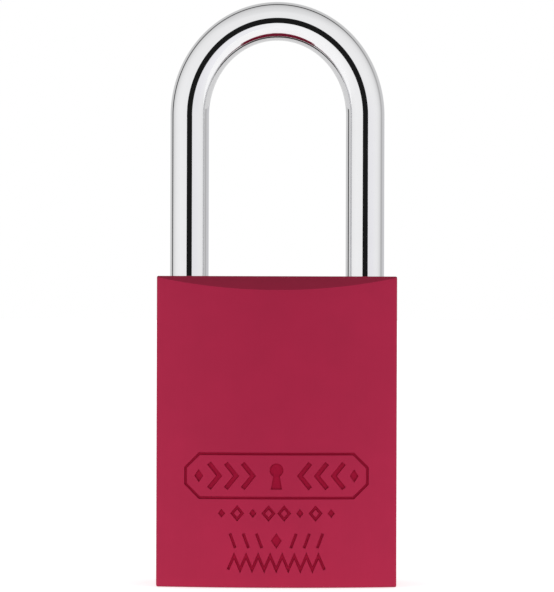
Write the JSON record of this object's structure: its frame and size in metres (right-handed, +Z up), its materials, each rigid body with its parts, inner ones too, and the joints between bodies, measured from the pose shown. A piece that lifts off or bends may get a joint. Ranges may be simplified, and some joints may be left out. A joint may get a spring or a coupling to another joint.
{
  "type": "keyed padlock",
  "caption": "Keyed safety padlock: solid anodised aluminium body, tall round steel shackle held by two locking balls, and a pin cylinder in the underside.",
  "frame": {"origin": "centre of the body's underside", "axes": "+Z up along the shackle legs and the cylinder axis, +X to the right along the body's width, -Y to the front"},
  "size_m": [0.04, 0.0196, 0.098],
  "materials": {
    "anodised_aluminium": "satin red anodised",
    "chromed_steel": "polished",
    "hardened_steel": "ground",
    "spring_steel": "drawn wire",
    "brass": "machined",
    "nickel_silver": "machined nickel silver"
  },
  "bodies": {
    "body": {"lock_body": "anodised_aluminium", "cylinder_housing": "nickel_silver", "pin_chamber_cover": "brass", "cylinder_screw": "hardened_steel", "shackle_spring": "spring_steel", "driver_pin_1": "nickel_silver", "driver_pin_2": "nickel_silver", "driver_pin_3": "nickel_silver", "driver_pin_4": "nickel_silver", "driver_pin_5": "nickel_silver", "driver_pin_6": "nickel_silver", "pin_spring_1": "spring_steel", "pin_spring_2": "spring_steel", "pin_spring_3": "spring_steel", "pin_spring_4": "spring_steel", "pin_spring_5": "spring_steel", "pin_spring_6": "spring_steel"},
    "shackle": {"shackle": "chromed_steel"},
    "plug": {"plug": "brass", "tail_cap": "brass", "cap_pin": "hardened_steel", "cap_pin_spring": "spring_steel", "drive_bar": "hardened_steel", "actuator": "hardened_steel", "drill_guard_pin_1": "hardened_steel", "drill_guard_pin_2": "hardened_steel", "key_pin_1": "brass", "key_pin_2": "brass", "key_pin_3": "brass", "key_pin_4": "brass", "key_pin_5": "brass", "key_pin_6": "brass"},
    "toe_ball": {"toe_ball": "hardened_steel"},
    "heel_ball": {"heel_ball": "hardened_steel"}
  },
  "joints": [
    {"name": "shackle_lift", "type": "slide", "parent": "body", "child": "shackle", "axis": [0, 0, 1], "range_m": [0, 0.016], "deforming": ["shackle_spring"]},
    {"name": "plug_turn", "type": "hinge", "parent": "body", "child": "plug", "pos_m": [0, 0, 0], "axis": [0, 0, 1], "range_deg": [-90, 0]},
    {"name": "toe_ball_slide", "type": "slide", "parent": "body", "child": "toe_ball", "axis": [1, 0, 0], "range_m": [0, 0.0016]},
    {"name": "heel_ball_slide", "type": "slide", "parent": "body", "child": "heel_ball", "axis": [-1, 0, 0], "range_m": [0, 0.0008]}
  ],
  "couplings": [
    {"joint": "toe_ball_slide", "follows": "plug_turn", "m_per_rad": -0.0010185},
    {"joint": "heel_ball_slide", "follows": "plug_turn", "m_per_rad": -0.0005092}
  ]
}
